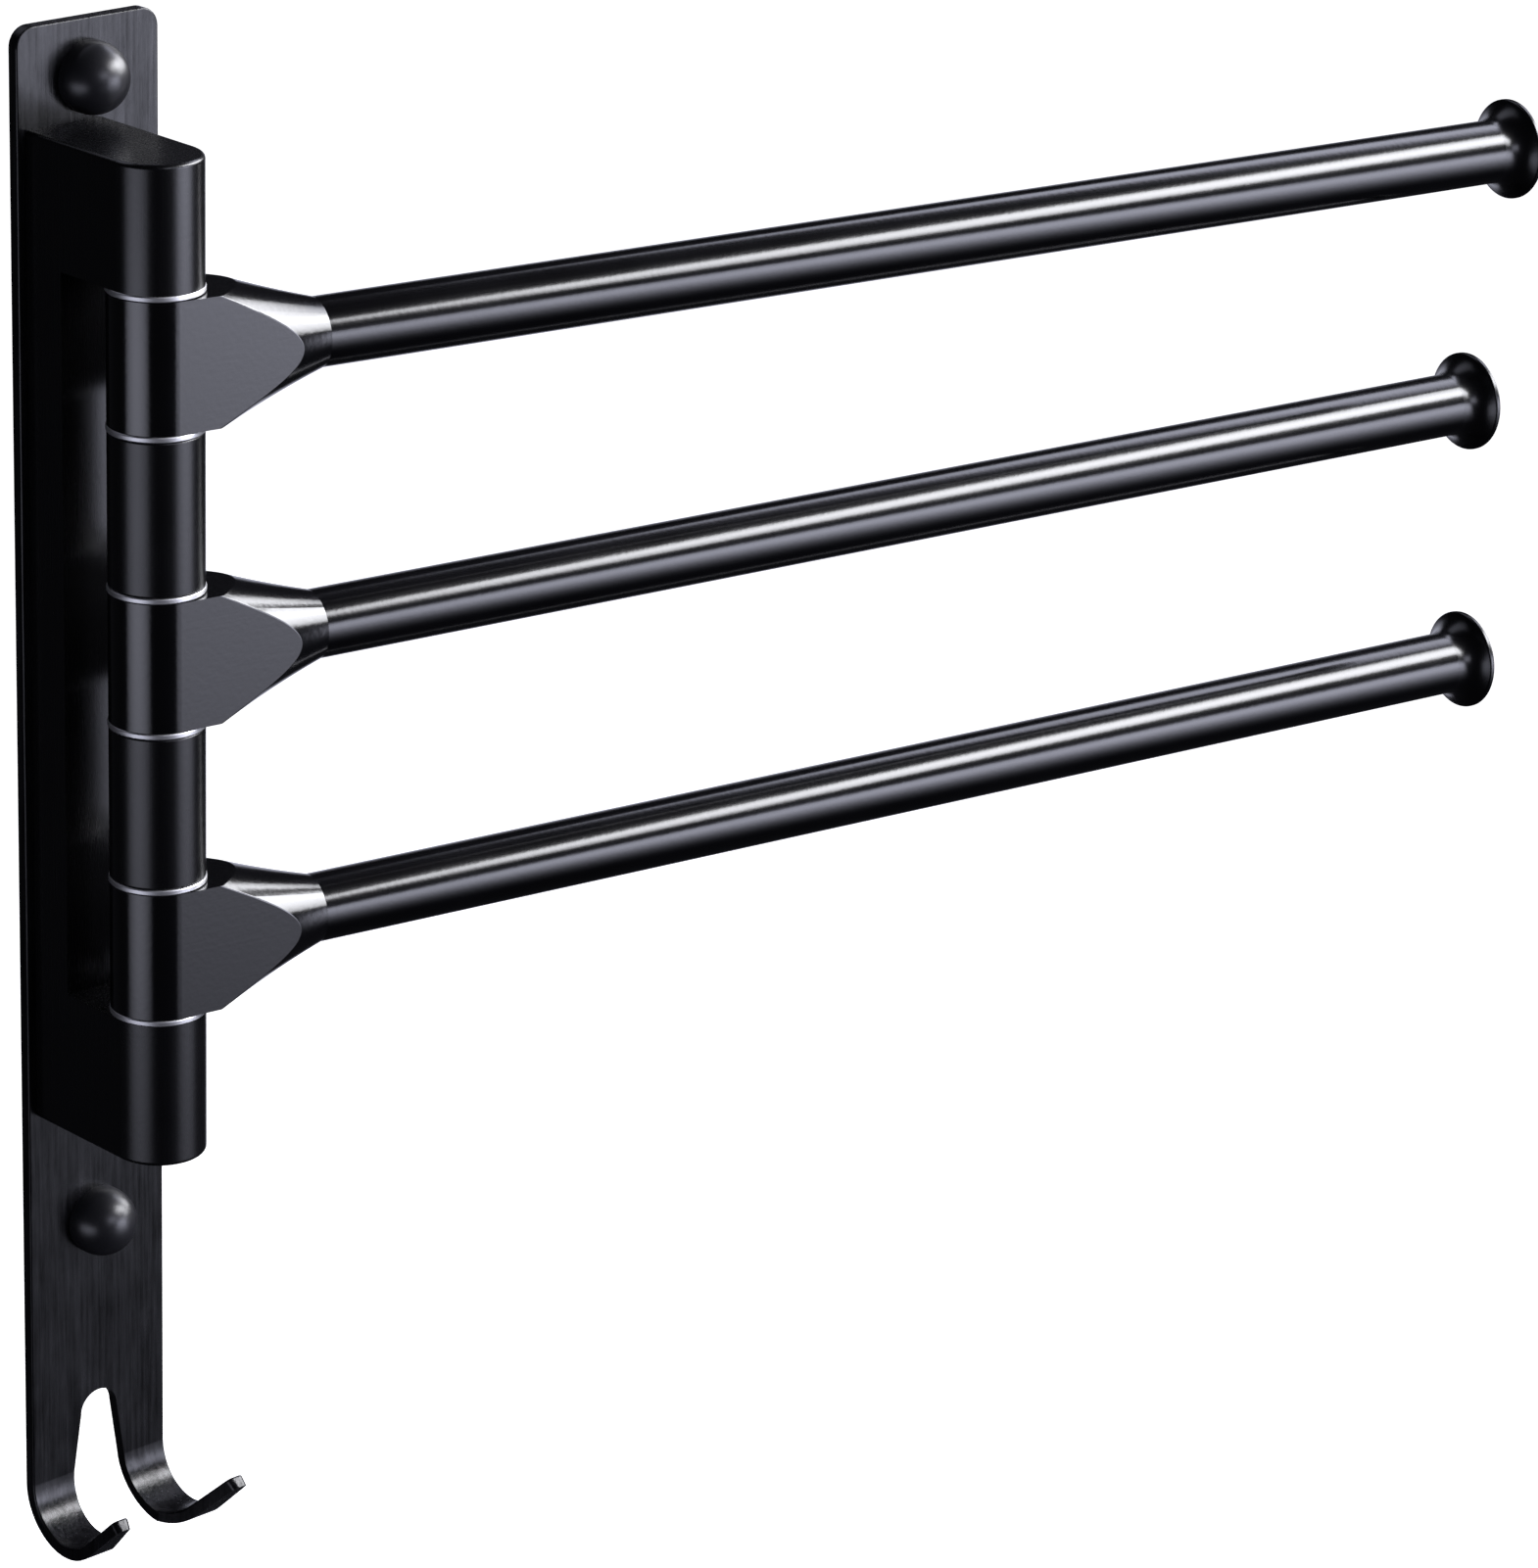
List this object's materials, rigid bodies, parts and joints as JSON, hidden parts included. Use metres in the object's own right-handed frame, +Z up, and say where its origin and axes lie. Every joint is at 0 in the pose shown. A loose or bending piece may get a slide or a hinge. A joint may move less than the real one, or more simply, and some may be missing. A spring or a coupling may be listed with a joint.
{
  "type": "wall towel rack",
  "caption": "Wall towel rack: an upright plate with a hinge bracket, swing-out tube arms with flared ends, and hooks bent from the plate's forked foot.",
  "frame": {"origin": "midway between the two wall screw holes, on the back face of the wall plate", "axes": "+X to the right across the plate, -Y out of the wall into the room, +Z up"},
  "size_m": [0.3498, 0.0952, 0.3198],
  "materials": {
    "plate": "satin brushed black",
    "bracket": "gloss black anodised",
    "knuckle": "gloss black anodised",
    "tube": "gloss black anodised",
    "cap": "gloss black anodised",
    "dome": "gloss black",
    "collar": "matte black",
    "washer": "polished",
    "bush": "natural",
    "pin": "ground",
    "screw": "blackened"
  },
  "bodies": {
    "wall_frame": {"wall_plate": "plate", "hinge_bracket": "bracket", "bracket_screws": "screw", "hinge_pin": "pin", "pin_plug": "screw", "washer_1": "washer", "washer_2": "washer", "washer_3": "washer", "washer_4": "washer", "washer_5": "washer", "washer_6": "washer", "spacer_1": "bracket", "spacer_2": "bracket", "dome_cap_upper": "dome", "cap_collar_upper": "collar", "dome_cap_lower": "dome", "cap_collar_lower": "collar"},
    "arm_1": {"knuckle_1": "knuckle", "knuckle_bush_1": "bush", "arm_tube_1": "tube", "end_cap_1": "cap"},
    "arm_2": {"knuckle_2": "knuckle", "knuckle_bush_2": "bush", "arm_tube_2": "tube", "end_cap_2": "cap"},
    "arm_3": {"knuckle_3": "knuckle", "knuckle_bush_3": "bush", "arm_tube_3": "tube", "end_cap_3": "cap"}
  },
  "joints": [
    {"name": "arm_1_swing", "type": "hinge", "parent": "wall_frame", "child": "arm_1", "pos_m": [-0.0055, -0.03, 0.07155], "axis": [0, 0, -1], "range_deg": [-9.2, 170.8]},
    {"name": "arm_2_swing", "type": "hinge", "parent": "wall_frame", "child": "arm_2", "pos_m": [-0.0055, -0.03, 0.01145], "axis": [0, 0, -1], "range_deg": [-7.9, 172.1]},
    {"name": "arm_3_swing", "type": "hinge", "parent": "wall_frame", "child": "arm_3", "pos_m": [-0.0055, -0.03, -0.04865], "axis": [0, 0, -1], "range_deg": [-8.7, 171.3]}
  ]
}
